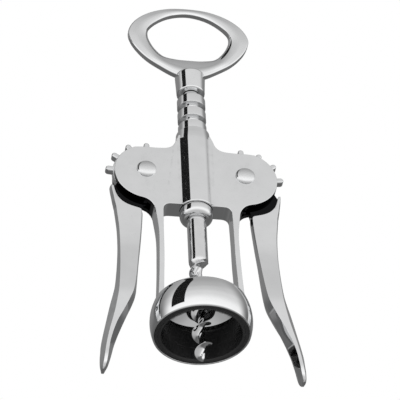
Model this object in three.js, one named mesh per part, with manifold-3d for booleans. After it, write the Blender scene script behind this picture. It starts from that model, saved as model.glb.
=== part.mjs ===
// Lever (wing) corkscrew with a bottle-opener ring handle.
//
// Frame: millimetres, +Z up along the spindle towards the handle, +X across the two levers,
// -Y the front. The origin is the centre of the bell's mouth, where a bottle's lip sits.
// At rest the levers hang down, the rack is at the top of its travel and the stop collar
// is up against the lower end of the guide tube.

import * as THREE from 'three';
import { mergeVertices } from 'three/addons/utils/BufferGeometryUtils.js';
import Module from 'manifold-3d';

// Rack and pinion
const PIVOT_X = 19.8;
const PIVOT_Z = 78.2;
const RACK_PITCH = 7.1;
const PITCH_RADIUS = 14.0;
const TOOTH_STEP = RACK_PITCH / PITCH_RADIUS;
const TOOTH_COUNT = 7;
const TOOTH_RADIUS = 1.25;
const TOOTH_CENTRE = 14.85;
const GEAR_RADIUS = 13.2;
const GEAR_THICKNESS = 3.2;

// Body casting: two plates, guide tube and two straps
const BODY_DEPTH = 8;
const SLOT_WIDTH = 3.9;
const SLOT_RADIUS = 16.7;
const TUBE_RADIUS = 7.1;
const TUBE_LIP_RADIUS = 6.75;
const TUBE_TAPER = 4;
const BORE_RADIUS = 6.35;
const TUBE_BOTTOM = 61.4;
const TUBE_TOP = 100.5;
const TUBE_TOP_INSET = 0.6;
const LOBE_X = 19.0;
const LOBE_Z = 77.0;
const LOBE_RADIUS = 13.6;
const LOBE_START = 68;
const LOBE_END = -76;
const LOBE_FILLET = [17.9, 63.0];
const WINDOW_CORNER = [13.5, 61.4];
const WINDOW_START = [10.4, 61.4];

// Pivot rivets
const RIVET_RADIUS = 2.4;
const RIVET_HOLE = 2.6;
const RIVET_HEAD = 3.9;
const RIVET_DOME = 1.5;
const RIVET_TAIL = 3.4;
const RIVET_TAIL_HEIGHT = 0.9;
const RIVET_DOME_PROFILE = [[1.6, 1.32], [2.9, 0.85], [3.65, 0.3]];
const RIVET_CHAMFER = 0.5;

// Bell: a ball-shaped side, a rounded shoulder, and a shallow roof with a guide boss for the worm
const BELL_RADIUS = 19.8;
const BELL_CENTRE_Z = 6.0;
const BELL_WALL = 1.6;
const RIM_WALL = 0.7;
const RIM_DEPTH = 2.6;
const BELL_SHOULDER_Z = 13.2;
const BELL_ROOF = [[18.0, 14.3], [17.1, 15.05], [15.5, 15.8], [12, 17.2], [8.5, 18.4], [6.4, 19.0]];
const GUIDE_TOP = [[5.9, 19.9], [5.5, 20.3], [4.7, 20.3]];
const GUIDE_HOLE = 4.3;
const GUIDE_TOP_Z = 19.9;
const GUIDE_NOSE = [[4.3, 10.5], [4.7, 10.1], [5.2, 10.5], [5.6, 11.6], [5.75, 13.2], [5.8, 16.2]];
const BELL_CEILING = [[6.6, 17.1], [8.5, 16.8], [12, 15.6], [14.4, 14.6], [15.6, 13.9]];
const LINER_MOUTH = 15.5;
const LINER_CHAMFER = 0.4;
const LINER_WALL_START = 3;
const LINER_TOP = 13.3;
const LINER_TOP_RADIUS = 13.9;
const LINER_SHOULDER = 0.8;

// Spindle, rack and handle
const SPINDLE_RADIUS = 2.4;
const SPINDLE_HOLE = 2.7;
const SPINDLE_TOP = 129.5;
const ROD_RADIUS = 3.85;
const COLLAR_BOTTOM = 56.4;
const COLLAR_TOP = 61.0;
const COLLAR_RADIUS = 6.65;
const COLLAR_ROUND = [[4.9, 0], [5.9, 0.5], [6.45, 1.4], [6.65, 2.3]];
const COLLAR_CHAMFER = 0.4;
const RACK_BOTTOM = 61.3;
const RACK_TOP = 122.45;
const RACK_OUTER = 5.75;
const RACK_ROOT = 3.3;
const GROOVE_MOUTH = 2.0;
const GROOVE_FLOOR = 1.2;
const BOSS_BOTTOM = 122.8;
const BOSS_TOP = 132.9;
const BOSS_LOW_RADIUS = 5.75;
const BOSS_HIGH_RADIUS = 6.2;
const BOSS_CHAMFER = 0.5;
const BOSS_CROWN = 0.7;
const BOSS_NECK = [2.2, 2.4];
const RING_THICKNESS = 3.6;

// Worm
const WORM_TOP = 37;
const WORM_TIP = -11.7;
const WORM_PITCH = 9.8;
const WORM_RADIUS = 3.85;
const WORM_CORE = 1.15;
const WORM_BLADE = 0.5;
const WORM_FRONT_Z = 3.4;
const WORM_POINT = 5;
const WORM_TAPER = 0.35;
const WORM_STEPS = 75;
const WORM_TIP_SCALE = 0.06;
const WORM_WAIST = [2.0, 1.4];

// Running and assembly gaps, and how finely round shapes are cut
const GAP = 0.3;
const CUT = 1;
const ROUND = 40;
const SMALL_ROUND = 20;
const BELL_STEPS = 7;
const RACK_ROUND = 28;

const wasm = await Module();
wasm.setup();

// Closed geometry to a manifold solid and back

function solid(geometry) {
  const bare = geometry.clone();
  bare.deleteAttribute('normal');
  bare.deleteAttribute('uv');
  const merged = mergeVertices(bare, 1e-4);
  const index = merged.index.array;
  const kept = [];
  for (let i = 0; i < index.length; i += 3) {
    const [a, b, c] = [index[i], index[i + 1], index[i + 2]];
    if (a !== b && b !== c && c !== a) kept.push(a, b, c);
  }
  const vertProperties = new Float32Array(merged.attributes.position.array);
  const triVerts = new Uint32Array(kept);
  return new wasm.Manifold(new wasm.Mesh({ numProp: 3, vertProperties, triVerts }));
}

function geometryOf(manifold) {
  const { vertProperties, triVerts } = manifold.getMesh();
  const geometry = new THREE.BufferGeometry();
  geometry.setAttribute('position', new THREE.BufferAttribute(vertProperties, 3));
  geometry.setIndex(new THREE.BufferAttribute(triVerts, 1));
  geometry.computeVertexNormals();
  return geometry;
}

// Basic solids

// An outline in X and Z, extruded to the same depth in front of and behind the X-Z plane.
function plate(shape, depth, curveSegments = SMALL_ROUND) {
  const geometry = new THREE.ExtrudeGeometry(shape, { depth, bevelEnabled: false, curveSegments });
  geometry.rotateX(Math.PI / 2);
  geometry.translate(0, depth / 2, 0);
  return solid(geometry);
}

// A profile of [radius, z] points, anticlockwise, turned about Z.
function turned(profile, segments = ROUND) {
  const points = profile.map(([radius, z]) => new THREE.Vector2(radius, z));
  const geometry = new THREE.LatheGeometry(points, segments);
  geometry.rotateX(Math.PI / 2);
  return solid(geometry);
}

// The same about an axis parallel to Y at x, z: the profile's second number is y.
function turnedAboutY(profile, x, z, segments = ROUND) {
  const points = profile.map(([radius, y]) => new THREE.Vector2(radius, y));
  const geometry = new THREE.LatheGeometry(points, segments);
  geometry.translate(x, 0, z);
  return solid(geometry);
}

function cylinderY(radius, depth, x, z, segments = ROUND) {
  const half = depth / 2;
  return turnedAboutY([[0, -half], [radius, -half], [radius, half], [0, half]], x, z, segments);
}

function cylinderZ(radius, bottom, top, segments = ROUND) {
  return turned([[0, bottom], [radius, bottom], [radius, top], [0, top]], segments);
}

function vectors(points, side = 1) {
  return points.map(([x, z]) => new THREE.Vector2(side * x, z));
}

// Body: plates, tube and straps

const PLATE_TOP_START = [[0, 96.5], [6.4, 97.6]];
const PLATE_TOP_EDGE = [[7.3, 95.2], [8.5, 92.3], [10.6, 90.5], [14.5, 89.9], [20.5, 89.9]];
const STRAP_OUTER = [[16.9, 58.5], [15.8, 48], [15.9, 36], [16.3, 25], [17.0, 13]];
const STRAP_INNER = [[14.7, 13], [14.3, 25], [13.9, 36], [13.8, 48], [13.6, 58.2]];

// One half of the body's front outline, from the centre line out round the lobe and down the strap.
function halfBody() {
  const shape = new THREE.Shape();
  const radians = THREE.MathUtils.degToRad;
  shape.moveTo(...PLATE_TOP_START[0]);
  shape.lineTo(...PLATE_TOP_START[1]);
  shape.splineThru(vectors(PLATE_TOP_EDGE));
  shape.absarc(LOBE_X, LOBE_Z, LOBE_RADIUS, radians(LOBE_START), radians(LOBE_END), true);
  shape.quadraticCurveTo(...LOBE_FILLET, ...STRAP_OUTER[0]);
  shape.splineThru(vectors(STRAP_OUTER.slice(1)));
  shape.lineTo(...STRAP_INNER[0]);
  shape.splineThru(vectors(STRAP_INNER.slice(1)));
  shape.quadraticCurveTo(...WINDOW_CORNER, ...WINDOW_START);
  shape.lineTo(0, TUBE_BOTTOM);
  return shape;
}

function body() {
  const right = plate(halfBody(), BODY_DEPTH, 6);
  let casting = right.add(right.mirror([1, 0, 0]));
  casting = casting.add(turned([
    [0, TUBE_BOTTOM],
    [TUBE_RADIUS, TUBE_BOTTOM],
    [TUBE_RADIUS, TUBE_TOP - TUBE_TAPER],
    [TUBE_LIP_RADIUS, TUBE_TOP - TUBE_TOP_INSET],
    [TUBE_LIP_RADIUS - TUBE_TOP_INSET / 3, TUBE_TOP],
    [0, TUBE_TOP],
  ]));
  casting = casting.subtract(cylinderZ(BORE_RADIUS, TUBE_BOTTOM - CUT, TUBE_TOP + CUT));
  for (const side of [-1, 1]) {
    casting = casting.subtract(cylinderY(SLOT_RADIUS, SLOT_WIDTH, side * PIVOT_X, PIVOT_Z));
    casting = casting.subtract(cylinderY(RIVET_HOLE, BODY_DEPTH + CUT, side * PIVOT_X, PIVOT_Z, SMALL_ROUND));
  }
  return casting.subtract(bellEnvelope());
}

// Bell

// The outer surface as a circular arc from the mouth up to the shoulder, moved out by offset.
function bellArc(offset, bottom, steps) {
  const radius = BELL_RADIUS + offset;
  const low = Math.asin((bottom - BELL_CENTRE_Z) / radius);
  const high = Math.asin((BELL_SHOULDER_Z - BELL_CENTRE_Z) / radius);
  return Array.from({ length: steps + 1 }, (_, i) => {
    const angle = low + (high - low) * i / steps;
    return [radius * Math.cos(angle), BELL_CENTRE_Z + radius * Math.sin(angle)];
  });
}

// The roof's outer line from the shoulder up to the guide boss, moved out by offset.
function bellRoof(offset) {
  return BELL_ROOF.map(([radius, z]) => [radius + offset / 2, z + offset]);
}

// Everything inside the bell's outer surface, with a joint gap, for trimming the straps' feet.
function bellEnvelope() {
  const arc = bellArc(GAP, -BELL_WALL, BELL_STEPS);
  const roof = bellRoof(GAP);
  return turned([[0, -BELL_WALL], ...arc, ...roof, [0, roof[roof.length - 1][1]]]);
}

// The shell is open at the mouth with a thin rim there, and closed above but for the guide's bore.
function bellShell() {
  const outer = bellArc(0, 0, BELL_STEPS);
  const guide = [...GUIDE_TOP, [GUIDE_HOLE, GUIDE_TOP_Z], ...GUIDE_NOSE, ...BELL_CEILING];
  const inner = bellArc(-BELL_WALL, RIM_DEPTH, BELL_STEPS - 2).reverse();
  const rim = [[outer[0][0] - RIM_WALL, RIM_DEPTH / 2], [outer[0][0] - RIM_WALL, 0]];
  return turned([...outer, ...bellRoof(0), ...guide, ...inner, ...rim, outer[0]]);
}

// Plastic sleeve that lines the bell and bears on the bottle's neck.
function bellLiner() {
  const rimRadius = bellArc(0, 0, 1)[0][0] - RIM_WALL - GAP;
  const outer = bellArc(-BELL_WALL - GAP, RIM_DEPTH, BELL_STEPS - 2)
    .filter(([, z]) => z < LINER_TOP - LINER_SHOULDER);
  const top = [[outer[outer.length - 1][0] - LINER_SHOULDER, LINER_TOP], [LINER_TOP_RADIUS, LINER_TOP]];
  const chamfer = [[LINER_MOUTH, LINER_CHAMFER], [LINER_MOUTH + LINER_CHAMFER, 0]];
  const mouth = [[LINER_MOUTH, LINER_WALL_START], ...chamfer];
  return turned([[rimRadius, 0], [rimRadius, RIM_DEPTH / 2], ...outer, ...top, ...mouth, [rimRadius, 0]]);
}

// Levers

// Level sections of the arm from the finger tip up, right-hand side: height, inner flank, inner
// ridge, outer ridge, outer flank, and half the depth at the ridges.
const FINGER = [
  [-20, 37.9, 38.1, 38.6, 38.8, 1.4],
  [-19.3, 37.2, 37.6, 38.6, 39.15, 2.6],
  [-17.6, 36.4, 37.1, 38.3, 39.4, 3.5],
  [-14.5, 35.5, 36.6, 37.9, 39.4, 4],
  [-11.5, 34.75, 36.2, 37.5, 39.2, 4],
  [-8, 33.95, 35.65, 36.95, 38.85, 4],
  [-3, 32.4, 34.35, 35.95, 38, 4],
  [2, 30.6, 32.65, 34.75, 37, 4],
  [7, 28.7, 30.3, 33.6, 36, 4],
  [12, 26.7, 28.1, 32.7, 34.95, 4],
  [16.5, 25.25, 26.4, 32, 33.9, 4],
  [21, 24.65, 25.5, 31.6, 33, 3.8],
  [27, 24.1, 24.75, 31.25, 32.35, 3.4],
  [34, 23.45, 24.05, 31, 31.85, 2.9],
  [41, 22.7, 23.35, 30.9, 31.6, 2.5],
  [49, 22, 22.6, 31.1, 31.75, 2.4],
  [56, 21.5, 22.1, 31.75, 32.35, 2.4],
];
const SHOULDER = [
  [59.1, 21.7, 22.3, 32.0, 32.65, 2.4],
  [60.1, 25.2, 25.6, 32.2, 32.85, 2.4],
  [61.7, 28.4, 28.8, 32.5, 33.1, 2.4],
  [64.4, 30.9, 31.2, 32.9, 33.5, 2.4],
  [67.9, 32.3, 32.5, 33.5, 34, 2.4],
  [70.5, 32.8, 33, 34, 34.3, 2.4],
];
const FLANK_LAND = 0.5;
const FINGER_STEPS = 2;

// Rows between the listed ones, on smooth curves through them.
function smoothed(rows, steps) {
  const curve = new THREE.CubicInterpolant(rows.map((_, i) => i), rows.flat(), rows[0].length);
  const count = (rows.length - 1) * steps + 1;
  return Array.from({ length: count }, (_, i) => [...curve.evaluate(i / steps)]);
}

// One level section: flat ridges front and back, and sides that slope out to a flank at mid depth.
function armSection(side, [z, innerFlank, innerRidge, outerRidge, outerFlank, half]) {
  const corners = [
    [innerFlank, -FLANK_LAND], [innerRidge, -half], [outerRidge, -half], [outerFlank, -FLANK_LAND],
    [outerFlank, FLANK_LAND], [outerRidge, half], [innerRidge, half], [innerFlank, FLANK_LAND],
  ].map(([x, y]) => [side * x, y, z]);
  return side > 0 ? corners : corners.reverse();
}

// A closed skin over a stack of convex sections, each anticlockwise seen from above.
function loft(sections) {
  const n = sections[0].length;
  const top = (sections.length - 1) * n;
  const index = [];
  for (let i = 0; i < top; i += n) {
    for (let j = 0; j < n; j += 1) {
      const [a, b] = [i + j, i + (j + 1) % n];
      index.push(a, b, b + n, a, b + n, a + n);
    }
  }
  for (let j = 1; j < n - 1; j += 1) index.push(0, j + 1, j, top, top + j, top + j + 1);
  const geometry = new THREE.BufferGeometry();
  geometry.setAttribute('position', new THREE.Float32BufferAttribute(sections.flat(2), 3));
  geometry.setIndex(index);
  return solid(geometry);
}

// The arm: a bar that thickens towards the knee and sweeps outwards below it to a finger tip.
function arm(side) {
  const rows = [...smoothed(FINGER, FINGER_STEPS), ...SHOULDER];
  return loft(rows.map((row) => armSection(side, row)));
}

const NECK = [[20.3, 66.2], [22.4, 56.5], [27, 52], [32.6, 62], [33.2, 68.6], [30.3, 74.2]];

// The thin web that carries the toothed sector into the arm.
function neck(side) {
  return plate(new THREE.Shape(vectors(NECK, side)), GEAR_THICKNESS);
}

// A tooth is a round-ended bar, pointing away from the pivot at the given angle.
function tooth(side, angle) {
  const shape = new THREE.Shape();
  shape.moveTo(GEAR_RADIUS - 2, -TOOTH_RADIUS);
  shape.lineTo(TOOTH_CENTRE, -TOOTH_RADIUS);
  shape.absarc(TOOTH_CENTRE, 0, TOOTH_RADIUS, -Math.PI / 2, Math.PI / 2, false);
  shape.lineTo(GEAR_RADIUS - 2, TOOTH_RADIUS);
  const geometry = new THREE.ExtrudeGeometry(shape, {
    depth: GEAR_THICKNESS, bevelEnabled: false, curveSegments: 6,
  });
  geometry.translate(0, 0, -GEAR_THICKNESS / 2);
  geometry.rotateZ(side > 0 ? Math.PI - angle : angle);
  geometry.rotateX(Math.PI / 2);
  geometry.translate(side * PIVOT_X, 0, PIVOT_Z);
  return solid(geometry);
}

// The first tooth points straight at the rack and the rest follow over the top of the sector.
function lever(side) {
  let piece = cylinderY(GEAR_RADIUS, GEAR_THICKNESS, side * PIVOT_X, PIVOT_Z);
  piece = piece.add(neck(side)).add(arm(side));
  for (let i = 0; i < TOOTH_COUNT; i += 1) piece = piece.add(tooth(side, i * TOOTH_STEP));
  const bore = cylinderY(RIVET_HOLE, BODY_DEPTH + CUT, side * PIVOT_X, PIVOT_Z, SMALL_ROUND);
  return piece.subtract(bore);
}

// Rivet: domed head in front, shank, and a low upset head behind.
function rivet(side) {
  const face = BODY_DEPTH / 2 + GAP / 3;
  const profile = [
    [0, -face - RIVET_DOME],
    ...RIVET_DOME_PROFILE.map(([radius, height]) => [radius, -face - height]),
    [RIVET_HEAD, -face],
    [RIVET_RADIUS, -face],
    [RIVET_RADIUS, face],
    [RIVET_TAIL, face],
    [RIVET_TAIL - RIVET_CHAMFER, face + RIVET_TAIL_HEIGHT],
    [0, face + RIVET_TAIL_HEIGHT],
  ];
  return turnedAboutY(profile, side * PIVOT_X, PIVOT_Z, SMALL_ROUND);
}

// Spindle group

// The sleeve's rings are the rack: grooves lie one pitch apart, one of them level with the pivots,
// and the highest groove is closed by the handle's boss.
function rack() {
  const lowest = -Math.floor((PIVOT_Z - RACK_BOTTOM - GROOVE_MOUTH) / RACK_PITCH);
  const highest = Math.floor((RACK_TOP - PIVOT_Z) / RACK_PITCH);
  const profile = [[SPINDLE_HOLE, RACK_BOTTOM], [RACK_OUTER, RACK_BOTTOM]];
  for (let i = lowest; i <= highest; i += 1) {
    const z = PIVOT_Z + i * RACK_PITCH;
    profile.push([RACK_OUTER, z - GROOVE_MOUTH], [RACK_ROOT, z - GROOVE_FLOOR]);
    if (i < highest) profile.push([RACK_ROOT, z + GROOVE_FLOOR], [RACK_OUTER, z + GROOVE_MOUTH]);
  }
  profile.push([RACK_ROOT, RACK_TOP], [SPINDLE_HOLE, RACK_TOP], profile[0]);
  return turned(profile, RACK_ROUND);
}

function stopCollar() {
  return turned([
    [SPINDLE_HOLE, COLLAR_BOTTOM],
    ...COLLAR_ROUND.map(([radius, height]) => [radius, COLLAR_BOTTOM + height]),
    [COLLAR_RADIUS, COLLAR_TOP - COLLAR_CHAMFER],
    [COLLAR_RADIUS - COLLAR_CHAMFER, COLLAR_TOP],
    [SPINDLE_HOLE, COLLAR_TOP],
    [SPINDLE_HOLE, COLLAR_BOTTOM],
  ], RACK_ROUND);
}

// Plain rod with a reduced upper end that runs inside the rack and screws into the handle.
function spindleRod() {
  const shoulder = COLLAR_BOTTOM - GAP;
  return turned([
    [0, WORM_TOP - CUT],
    [ROD_RADIUS, WORM_TOP - CUT],
    [ROD_RADIUS, shoulder],
    [SPINDLE_RADIUS, shoulder],
    [SPINDLE_RADIUS, SPINDLE_TOP],
    [0, SPINDLE_TOP],
  ], SMALL_ROUND);
}

// The worm's section is a small round core with one blade, and it turns once a pitch about Z.
function wormSection() {
  const shape = new THREE.Shape();
  shape.moveTo(WORM_RADIUS, WORM_BLADE / 2);
  shape.quadraticCurveTo(WORM_WAIST[0], WORM_WAIST[1], 0, WORM_CORE);
  shape.quadraticCurveTo(-WORM_CORE, WORM_CORE, -WORM_CORE, 0);
  shape.quadraticCurveTo(-WORM_CORE, -WORM_CORE, 0, -WORM_CORE);
  shape.quadraticCurveTo(WORM_WAIST[0], -WORM_WAIST[1], WORM_RADIUS, -WORM_BLADE / 2);
  return shape;
}

// Right-handed: the blade faces the front (-Y) at WORM_FRONT_Z and moves towards +X as z rises.
function worm() {
  const length = WORM_TOP - WORM_TIP;
  const geometry = new THREE.ExtrudeGeometry(wormSection(), {
    depth: length, steps: WORM_STEPS, bevelEnabled: false, curveSegments: 2,
  });
  const position = geometry.attributes.position;
  for (let i = 0; i < position.count; i += 1) {
    const z = WORM_TIP + position.getZ(i);
    const turn = 2 * Math.PI * (z - WORM_FRONT_Z) / WORM_PITCH - Math.PI / 2;
    const share = Math.min(1, (z - WORM_TIP) / WORM_POINT);
    const scale = WORM_TIP_SCALE + (1 - WORM_TIP_SCALE) * share ** WORM_TAPER;
    const x = position.getX(i) * scale;
    const y = position.getY(i) * scale;
    position.setXYZ(
      i, x * Math.cos(turn) - y * Math.sin(turn), x * Math.sin(turn) + y * Math.cos(turn), z,
    );
  }
  return solid(geometry);
}

// Handle: a boss below a flat, eye-shaped opener ring

const RING_OUTER = [
  [0, 170.2], [9.5, 169.2], [17.6, 165.6], [22.8, 160.6], [25.1, 155], [24.2, 150.4],
  [21.6, 145.6], [17.6, 140.9], [12.4, 136.9], [6.2, 133.1], [0, 131.4],
];
const RING_HOLE = [
  [0, 167.3], [7.4, 165.7], [13, 162], [16.4, 157.8], [16.9, 154.6], [15.9, 150.8],
  [13.6, 146.6], [10.6, 143.6], [5.6, 142.4], [0, 142.2],
];
const RING_BEVEL = [
  [0, 166.9], [7.4, 165.4], [13, 161.8], [16.9, 157.8], [18.1, 153.6], [17.2, 149.3],
  [14.7, 144.4], [11.6, 140.9], [6.6, 138.2], [0, 136.9],
];

// A smooth closed curve through the right-hand points and their mirror images.
function symmetricLoop(half, samples) {
  const right = half.map(([x, z]) => new THREE.Vector3(x, z, 0));
  const left = half.slice(1, -1).reverse().map(([x, z]) => new THREE.Vector3(-x, z, 0));
  const curve = new THREE.CatmullRomCurve3([...right, ...left], true, 'centripetal');
  return curve.getPoints(samples).slice(0, -1).map((p) => new THREE.Vector2(p.x, p.y));
}

function loopPlate(half, depth, samples) {
  return plate(new THREE.Shape(symmetricLoop(half, samples)), depth);
}

function handle() {
  const ledge = loopPlate(RING_BEVEL, RING_THICKNESS, 44).translate([0, -RING_THICKNESS / 2, 0]);
  const band = loopPlate(RING_OUTER, RING_THICKNESS, 60)
    .subtract(loopPlate(RING_HOLE, RING_THICKNESS + CUT, 44))
    .subtract(ledge);
  const boss = turned([
    [0, BOSS_BOTTOM],
    [BOSS_LOW_RADIUS - BOSS_CHAMFER, BOSS_BOTTOM],
    [BOSS_LOW_RADIUS, BOSS_BOTTOM + BOSS_CHAMFER],
    [BOSS_HIGH_RADIUS, BOSS_TOP - BOSS_CROWN],
    [BOSS_HIGH_RADIUS - BOSS_CROWN, BOSS_TOP],
    [BOSS_NECK[0], BOSS_TOP + BOSS_NECK[1]],
    [0, BOSS_TOP + BOSS_NECK[1]],
  ]);
  return band.add(boss).subtract(cylinderZ(SPINDLE_HOLE, BOSS_BOTTOM - CUT, SPINDLE_TOP + GAP, SMALL_ROUND));
}

// Materials

function chrome() {
  return new THREE.MeshStandardMaterial({ color: 0xd2d4d6, metalness: 1, roughness: 0.12 });
}

function steel() {
  return new THREE.MeshStandardMaterial({ color: 0xb9bcbf, metalness: 1, roughness: 0.22 });
}

function blackPlastic() {
  return new THREE.MeshStandardMaterial({ color: 0x1c1c1d, metalness: 0, roughness: 0.5 });
}

function named(name, manifold, material) {
  const mesh = new THREE.Mesh(geometryOf(manifold), material);
  mesh.name = name;
  return mesh;
}

// Assembly

const corkscrew = new THREE.Group();
corkscrew.name = 'lever_corkscrew';

const housing = new THREE.Group();
housing.add(named('body_frame', body(), chrome()));
housing.add(named('bell_shell', bellShell(), chrome()));
housing.add(named('bell_liner', bellLiner(), blackPlastic()));
housing.add(named('pivot_rivet_left', rivet(-1), chrome()));
housing.add(named('pivot_rivet_right', rivet(1), chrome()));

const levers = new THREE.Group();
levers.add(named('lever_left', lever(-1), chrome()));
levers.add(named('lever_right', lever(1), chrome()));

const spindle = new THREE.Group();
spindle.add(named('handle_opener', handle(), chrome()));
spindle.add(named('rack_sleeve', rack(), chrome()));
spindle.add(named('stop_collar', stopCollar(), chrome()));
spindle.add(named('worm_spindle', spindleRod().add(worm()), steel()));

corkscrew.add(housing, levers, spindle);

export default corkscrew;
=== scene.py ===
"""Looks of the lever corkscrew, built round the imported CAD: chrome castings, a ringed rack, a steel worm and a
black bell liner.

Shapes are made in millimetres and scaled to metres when a piece is finished.
Frame: +Z up the spindle to the handle, +X towards the right lever, -Y the front.
"""

import math

import bmesh
import bpy
from mathutils import Matrix, Vector


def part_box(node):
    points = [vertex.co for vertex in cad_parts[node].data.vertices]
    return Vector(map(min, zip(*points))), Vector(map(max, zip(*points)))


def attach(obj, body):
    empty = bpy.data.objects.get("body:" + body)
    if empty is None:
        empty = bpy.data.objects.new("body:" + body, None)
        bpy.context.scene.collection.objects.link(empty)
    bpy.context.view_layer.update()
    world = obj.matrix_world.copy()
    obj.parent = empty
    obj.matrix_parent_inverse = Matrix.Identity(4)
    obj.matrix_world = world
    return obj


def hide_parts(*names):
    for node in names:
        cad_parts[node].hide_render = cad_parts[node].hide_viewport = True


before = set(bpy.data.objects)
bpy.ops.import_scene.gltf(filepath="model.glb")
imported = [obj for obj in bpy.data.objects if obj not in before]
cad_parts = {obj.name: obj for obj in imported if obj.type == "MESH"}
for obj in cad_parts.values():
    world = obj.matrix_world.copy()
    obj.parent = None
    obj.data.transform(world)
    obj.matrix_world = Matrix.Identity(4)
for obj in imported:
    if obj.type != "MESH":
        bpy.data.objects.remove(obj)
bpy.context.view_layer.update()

MM = 0.001


def cad_box(node):
    """Lowest and highest corner of a CAD node, in millimetres."""
    low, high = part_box(node)
    return low / MM, high / MM


# ---------------------------------------------------------------- camera

# Solved from the photo's perspective; the focal length is in widths of the sensor.
CAMERA_AT = Vector((-168.3016, -893.6275, -698.0099)) * MM
CAMERA_AIM = Vector((1.7938, 0.0, 67.5414)) * MM
CAMERA_ROLL = math.radians(2.7546)
FOCAL_WIDTHS = 7.52725
SENSOR = 36.0


def add_camera():
    data = bpy.data.cameras.new("camera")
    data.sensor_width = SENSOR
    data.lens = SENSOR * FOCAL_WIDTHS
    data.clip_start = 0.01
    data.clip_end = 50
    cam = bpy.data.objects.new("camera", data)
    bpy.context.scene.collection.objects.link(cam)
    back = (CAMERA_AT - CAMERA_AIM).normalized()
    right = Vector((0, 0, 1)).cross(back).normalized()
    up = back.cross(right)
    level = Matrix((right, up, back)).transposed()
    cam.matrix_world = Matrix.Translation(CAMERA_AT) @ (
        level @ Matrix.Rotation(-CAMERA_ROLL, 3, "Z")).to_4x4()
    bpy.context.scene.camera = cam


add_camera()

# ---------------------------------------------------------------- outlines


def spline(points, steps):
    """Points on a smooth curve through the given points, both ends included."""
    points = [Vector(p) for p in points]
    out = []
    last = len(points) - 1
    for i in range(last):
        a, b = points[max(i - 1, 0)], points[i]
        c, d = points[i + 1], points[min(i + 2, last)]
        for k in range(steps):
            t = k / steps
            out.append(0.5 * (2 * b + (c - a) * t + (2 * a - 5 * b + 4 * c - d) * t * t
                              + (3 * b - 3 * c + d - a) * t * t * t))
    out.append(points[-1])
    return out


def loop(points, steps):
    """The same as a closed curve, with the centripetal spacing that keeps tight ends round."""
    points = [Vector(p) for p in points]
    n = len(points)
    out = []
    for i in range(n):
        p = [points[(i + k) % n] for k in (-1, 0, 1, 2)]
        t = [0.0]
        for k in range(3):
            t.append(t[-1] + math.sqrt((p[k + 1] - p[k]).length))
        for k in range(steps):
            u = t[1] + (t[2] - t[1]) * k / steps
            a = [p[j] * ((t[j + 1] - u) / (t[j + 1] - t[j])) + p[j + 1] * ((u - t[j]) / (t[j + 1] - t[j]))
                 for j in range(3)]
            b = [a[j] * ((t[j + 2] - u) / (t[j + 2] - t[j])) + a[j + 1] * ((u - t[j]) / (t[j + 2] - t[j]))
                 for j in range(2)]
            out.append(b[0] * ((t[2] - u) / (t[2] - t[1])) + b[1] * ((u - t[1]) / (t[2] - t[1])))
    return out


def bend(a, control, b, steps):
    """A quadratic curve from a to b, without its first point."""
    a, control, b = Vector(a), Vector(control), Vector(b)
    return [a * (1 - t) ** 2 + control * 2 * t * (1 - t) + b * t * t
            for t in (k / steps for k in range(1, steps + 1))]


def arc(centre, radius, start, end, steps):
    """Points on a circular arc, angles in degrees, both ends included."""
    return [Vector((centre[0] + radius * math.cos(a), centre[1] + radius * math.sin(a)))
            for a in (math.radians(start + (end - start) * k / steps) for k in range(steps + 1))]


def rounded(profile, corners, steps=4):
    """A profile with some corners rounded: corners maps a point's index to its radius."""
    profile = [Vector(p) for p in profile]
    out = []
    for i, p in enumerate(profile):
        radius = corners.get(i, 0)
        if not radius:
            out.append(p)
            continue
        before = profile[i - 1] - p
        after = profile[(i + 1) % len(profile)] - p
        a = p + before.normalized() * min(radius, before.length * 0.49)
        b = p + after.normalized() * min(radius, after.length * 0.49)
        out.append(a)
        out.extend(bend(a, p, b, steps))
    return out


# ---------------------------------------------------------------- solids in millimetres


def new_object(name, verts, faces):
    """A linked mesh object with merged corners and outward normals."""
    mesh = bpy.data.meshes.new(name)
    mesh.from_pydata([tuple(v) for v in verts], [], faces)
    bm = bmesh.new()
    bm.from_mesh(mesh)
    bmesh.ops.remove_doubles(bm, verts=bm.verts, dist=1e-5)
    bmesh.ops.recalc_face_normals(bm, faces=bm.faces)
    bm.to_mesh(mesh)
    bm.free()
    obj = bpy.data.objects.new(name, mesh)
    bpy.context.scene.collection.objects.link(obj)
    return obj


def skin(name, sections):
    """A solid through closed sections of equally many points, its two ends filled."""
    n, last = len(sections[0]), len(sections) - 1
    faces = [tuple(range(n)), tuple(range(last * n + n - 1, last * n - 1, -1))]
    for k in range(last):
        faces += [(k * n + i, k * n + (i + 1) % n, (k + 1) * n + (i + 1) % n, (k + 1) * n + i) for i in range(n)]
    return new_object(name, [corner for section in sections for corner in section], faces)


def prism(name, outline, depth):
    """An outline in X and Z, given depth along Y about the middle plane."""
    return skin(name, [[(p[0], y, p[1]) for p in outline] for y in (-depth / 2, depth / 2)])


def turned(name, profile, segments, closed=False, axis="Z", centre=(0, 0)):
    """A [radius, height] profile turned about Z, or about an axis along Y through centre (x, z)."""
    verts = []
    rings = []
    for radius, height in profile:
        if radius < 1e-6:
            rings.append([len(verts)])
            verts.append((0, 0, height))
            continue
        rings.append(list(range(len(verts), len(verts) + segments)))
        for k in range(segments):
            angle = 2 * math.pi * k / segments
            verts.append((radius * math.cos(angle), radius * math.sin(angle), height))
    pairs = list(zip(rings, rings[1:]))
    if closed:
        pairs.append((rings[-1], rings[0]))
    faces = []
    for low, high in pairs:
        for k in range(segments):
            corners = [low[k % len(low)], low[(k + 1) % len(low)],
                       high[(k + 1) % len(high)], high[k % len(high)]]
            face = list(dict.fromkeys(corners))
            if len(face) > 2:
                faces.append(face)
    if axis == "Y":
        verts = [(centre[0] + x, h, centre[1] + y) for x, y, h in verts]
    return new_object(name, verts, faces)


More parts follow.
